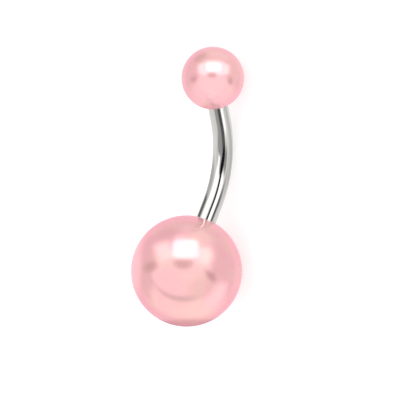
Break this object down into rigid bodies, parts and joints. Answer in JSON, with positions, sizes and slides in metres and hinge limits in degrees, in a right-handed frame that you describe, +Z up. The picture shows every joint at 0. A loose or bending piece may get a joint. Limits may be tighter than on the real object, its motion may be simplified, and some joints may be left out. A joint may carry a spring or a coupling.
{
  "type": "curved barbell for a navel piercing",
  "caption": "Bent round steel bar with a small pearl-finish ball screwed on one end and a large one on the other, lying on both balls.",
  "frame": {"origin": "on the surface that it lies on, under the middle of its box: halfway along its length and in the plane that the bar bends in", "axes": "+X from the large ball to the small one, +Z up, and the bar bends in the XZ plane with its bow towards -Z"},
  "size_m": [0.0222, 0.0088, 0.0088],
  "materials": {
    "polished_steel": "mirror polished surgical steel",
    "top_pearl": "pink pearl coating under a clear gloss coat, on acrylic",
    "bottom_pearl": "pink pearl coating under a clear gloss coat, on acrylic"
  },
  "bodies": {
    "bar": {"curved_bar": "polished_steel"},
    "top_ball": {"top_ball": "top_pearl"},
    "bottom_ball": {"bottom_ball": "bottom_pearl"}
  },
  "joints": [
    {"name": "top_ball_off", "type": "slide", "parent": "bar", "child": "top_ball", "axis": [0.9593, 0, 0.2824], "range_m": [0, 0.004]},
    {"name": "bottom_ball_off", "type": "slide", "parent": "bar", "child": "bottom_ball", "axis": [-0.9019, 0, 0.432], "range_m": [0, 0.004]}
  ]
}
